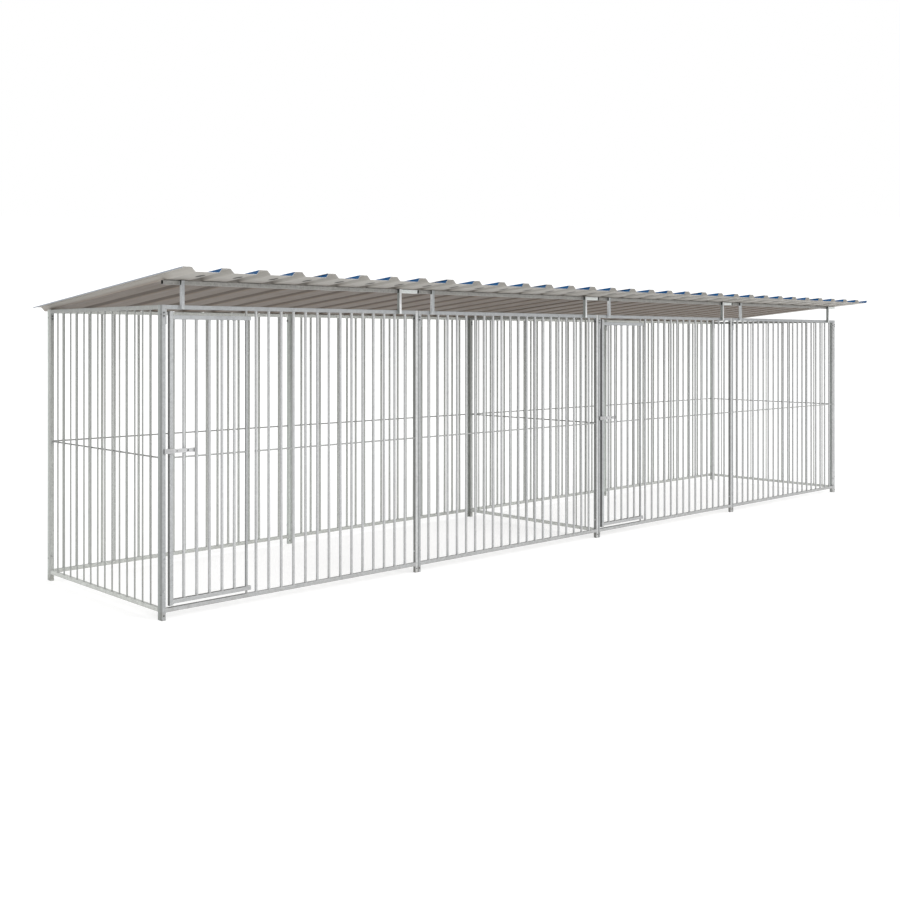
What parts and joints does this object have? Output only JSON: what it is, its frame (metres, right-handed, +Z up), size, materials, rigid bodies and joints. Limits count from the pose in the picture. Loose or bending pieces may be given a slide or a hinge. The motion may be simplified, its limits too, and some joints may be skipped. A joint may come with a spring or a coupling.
{
  "type": "outdoor dog kennel run",
  "caption": "Long two-bay outdoor dog run of galvanised bar panels with hinged bar doors, sliding latches, a middle partition and a ribbed mono-pitch roof raised at the front.",
  "frame": {"origin": "on the ground, under the middle of the whole run's box", "axes": "+X along the run to the right seen from the front, +Y from the front to the rear, +Z up"},
  "size_m": [8.12, 1.9826, 2.0469],
  "materials": {
    "galvanised_tube": "hot-dip galvanised, mottled grey",
    "galvanised_bar": "hot-dip galvanised, mottled grey",
    "zinc_hardware": "zinc coated",
    "roof_sheet": "blue coil coating, grey-beige backing coat underneath",
    "roof_screw": "painted head"
  },
  "bodies": {
    "run": {"front_panel_1_posts": "galvanised_tube", "front_panel_1_rails": "galvanised_tube", "front_panel_1_bars": "galvanised_bar", "front_panel_2_posts": "galvanised_tube", "front_panel_2_rails": "galvanised_tube", "front_panel_2_bars": "galvanised_bar", "front_panel_3_posts": "galvanised_tube", "front_panel_3_rails": "galvanised_tube", "front_panel_3_bars": "galvanised_bar", "front_panel_4_posts": "galvanised_tube", "front_panel_4_rails": "galvanised_tube", "front_panel_4_bars": "galvanised_bar", "rear_panel_1_posts": "galvanised_tube", "rear_panel_1_rails": "galvanised_tube", "rear_panel_1_bars": "galvanised_bar", "rear_panel_2_posts": "galvanised_tube", "rear_panel_2_rails": "galvanised_tube", "rear_panel_2_bars": "galvanised_bar", "rear_panel_3_posts": "galvanised_tube", "rear_panel_3_rails": "galvanised_tube", "rear_panel_3_bars": "galvanised_bar", "rear_panel_4_posts": "galvanised_tube", "rear_panel_4_rails": "galvanised_tube", "rear_panel_4_bars": "galvanised_bar", "left_side_posts": "galvanised_tube", "left_side_rails": "galvanised_tube", "left_side_bars": "galvanised_bar", "partition_posts": "galvanised_tube", "partition_rails": "galvanised_tube", "partition_bars": "galvanised_bar", "right_side_posts": "galvanised_tube", "right_side_rails": "galvanised_tube", "right_side_bars": "galvanised_bar", "tie_rods": "galvanised_bar", "door_pivot_pins": "zinc_hardware", "joint_bolts": "zinc_hardware", "joint_nuts": "zinc_hardware", "corner_bolts": "zinc_hardware", "corner_nuts": "zinc_hardware", "joint_plates": "galvanised_tube", "roof_purlins": "galvanised_tube", "roof_posts": "galvanised_tube", "roof_sheets_left": "roof_sheet", "roof_sheets_right": "roof_sheet", "roof_screws": "roof_screw"},
    "door_1": {"door_1_uprights": "galvanised_tube", "door_1_rails": "galvanised_tube", "door_1_bars": "galvanised_bar", "door_1_tie_rod": "galvanised_bar", "door_1_latch_guide": "zinc_hardware"},
    "latch_1": {"door_1_latch_bolt": "zinc_hardware"},
    "door_2": {"door_2_uprights": "galvanised_tube", "door_2_rails": "galvanised_tube", "door_2_bars": "galvanised_bar", "door_2_tie_rod": "galvanised_bar", "door_2_latch_guide": "zinc_hardware"},
    "latch_2": {"door_2_latch_bolt": "zinc_hardware"}
  },
  "joints": [
    {"name": "door_1_hinge", "type": "hinge", "parent": "run", "child": "door_1", "pos_m": [-3.415, -0.64882, 0], "axis": [0, 0, 1], "range_deg": [0, 115]},
    {"name": "door_1_latch_slide", "type": "slide", "parent": "door_1", "child": "latch_1", "axis": [1, 0, 0], "range_m": [0, 0.045]},
    {"name": "door_2_hinge", "type": "hinge", "parent": "run", "child": "door_2", "pos_m": [0.585, -0.64882, 0], "axis": [0, 0, 1], "range_deg": [0, 115]},
    {"name": "door_2_latch_slide", "type": "slide", "parent": "door_2", "child": "latch_2", "axis": [1, 0, 0], "range_m": [0, 0.045]}
  ]
}
